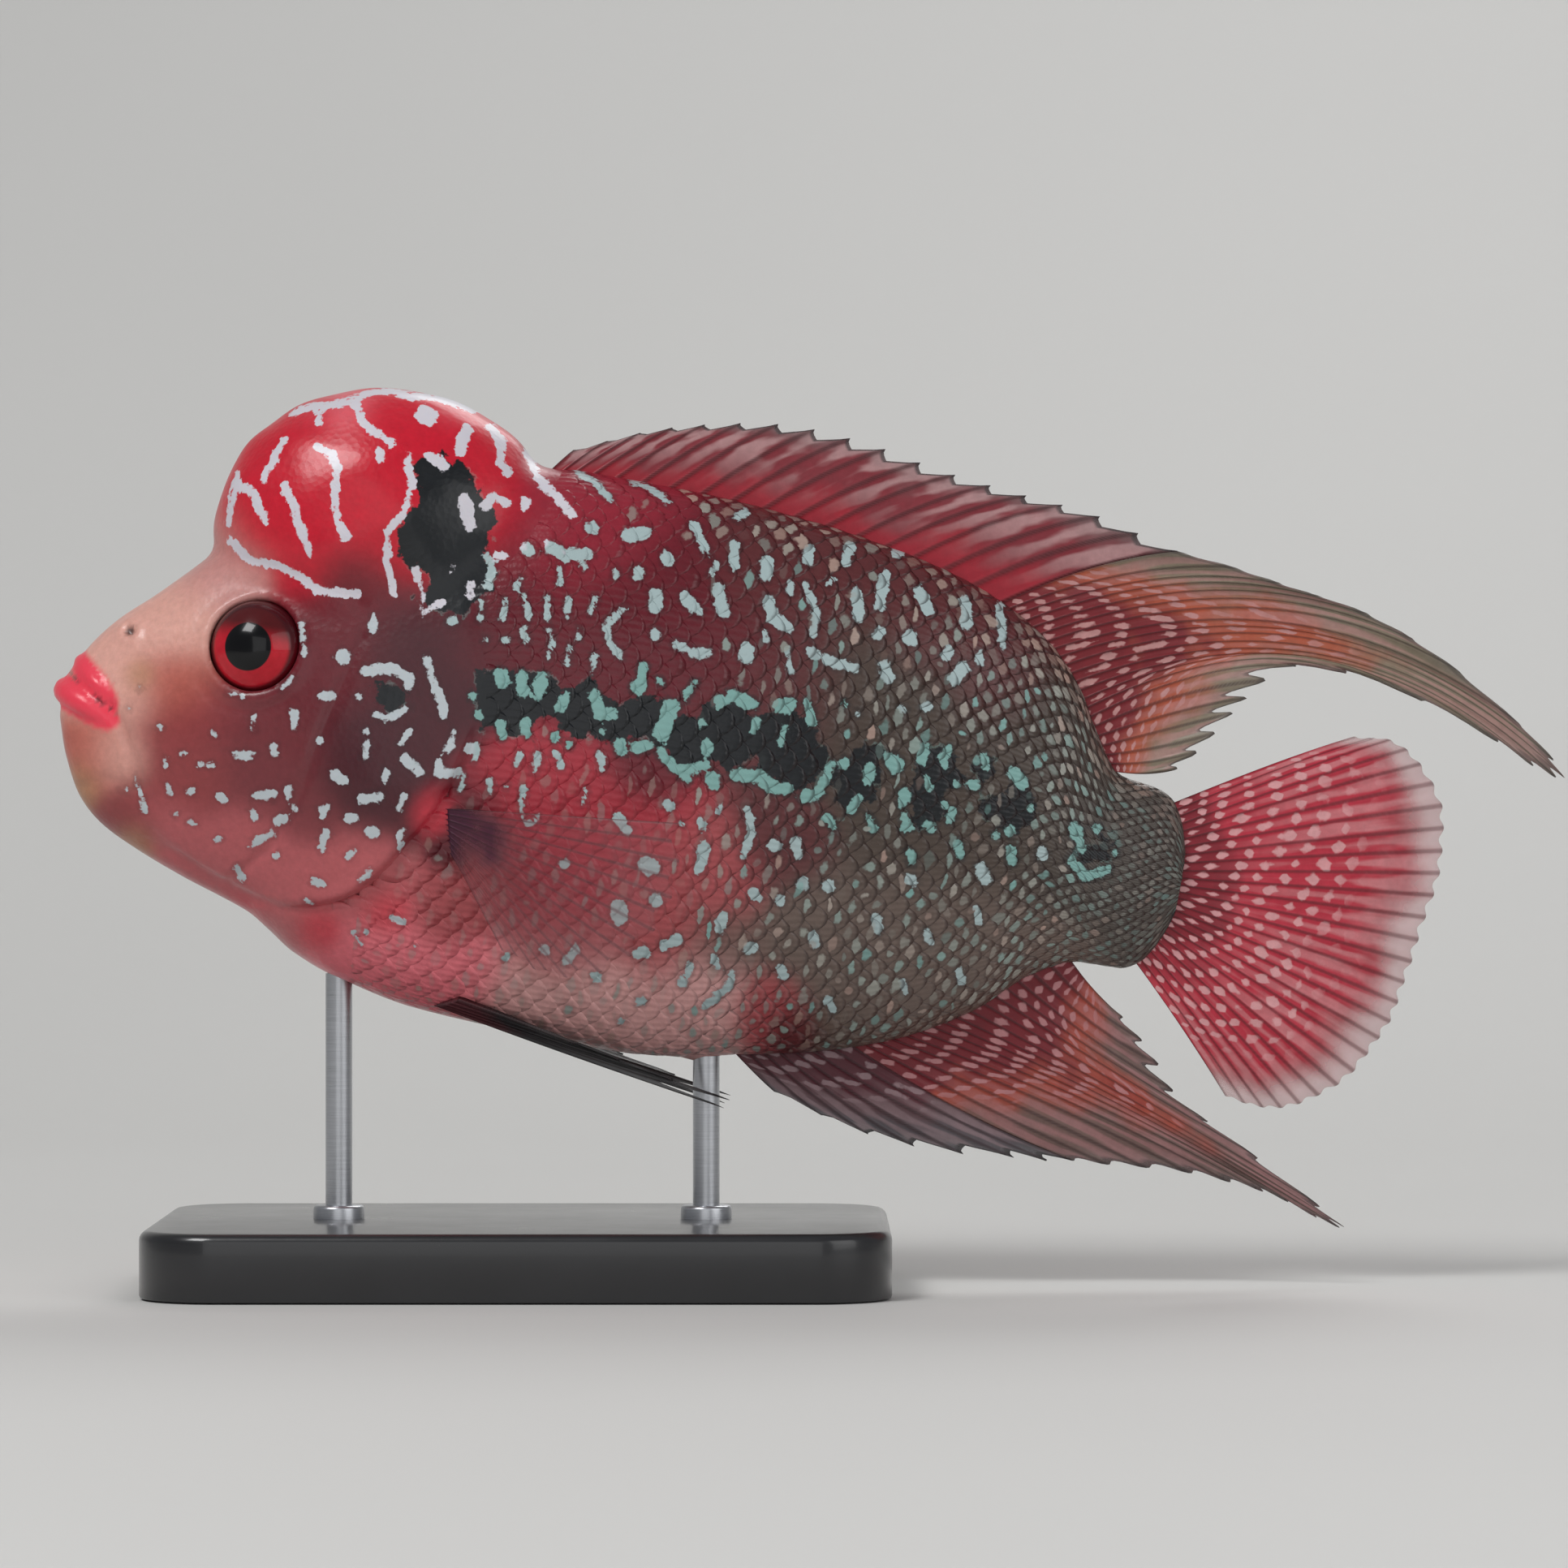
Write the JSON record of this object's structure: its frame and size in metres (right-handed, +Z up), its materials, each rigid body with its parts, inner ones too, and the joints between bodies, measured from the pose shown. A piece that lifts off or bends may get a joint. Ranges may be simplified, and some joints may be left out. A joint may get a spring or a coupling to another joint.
{
  "type": "flowerhorn cichlid",
  "caption": "Still life-size flowerhorn cichlid with a nuchal hump and trailing dorsal and anal fins, held over a flat display base by steel rods.",
  "frame": {"origin": "on the floor, under the middle of the overall length and width, at the underside of the stand's base", "axes": "+X from the mouth to the tail, +Y to the fish's right side, +Z up"},
  "size_m": [0.2716, 0.092, 0.1613],
  "materials": {
    "red_skin": "wet-looking painted fish skin, satin gloss",
    "hump_skin": "smooth scaleless red skin, satin gloss",
    "rear_skin": "olive brown fish skin with pale spots, satin gloss",
    "lip_skin": "smooth pink red lips",
    "eye_gloss": "high gloss eye with a red ring and a black pupil",
    "red_fin": "thin fin membrane over rays, satin",
    "grey_fin": "thin smoky fin membrane over rays, satin",
    "clear_fin": "thin, nearly clear fin membrane over rays",
    "base_lacquer": "black lacquer, satin",
    "rod_steel": "round steel rod, brushed"
  },
  "bodies": {
    "root": {"head": "red_skin", "lower_jaw": "red_skin", "lip_upper": "lip_skin", "lip_lower": "lip_skin", "nuchal_hump": "hump_skin", "gill_cover_left": "red_skin", "gill_cover_right": "red_skin", "eye_left": "eye_gloss", "eye_right": "eye_gloss", "trunk": "red_skin", "tail_stalk": "rear_skin", "dorsal_fin_spiny": "red_fin", "dorsal_fin_soft": "red_fin", "dorsal_fin_streamer": "grey_fin", "anal_fin_spiny": "grey_fin", "anal_fin_soft": "red_fin", "caudal_fin": "red_fin", "pectoral_fin_left": "clear_fin", "pectoral_fin_right": "clear_fin", "pelvic_fin_left": "grey_fin", "pelvic_fin_right": "grey_fin", "stand_base": "base_lacquer", "stand_rod_front": "rod_steel", "stand_rod_rear": "rod_steel"}
  },
  "joints": []
}
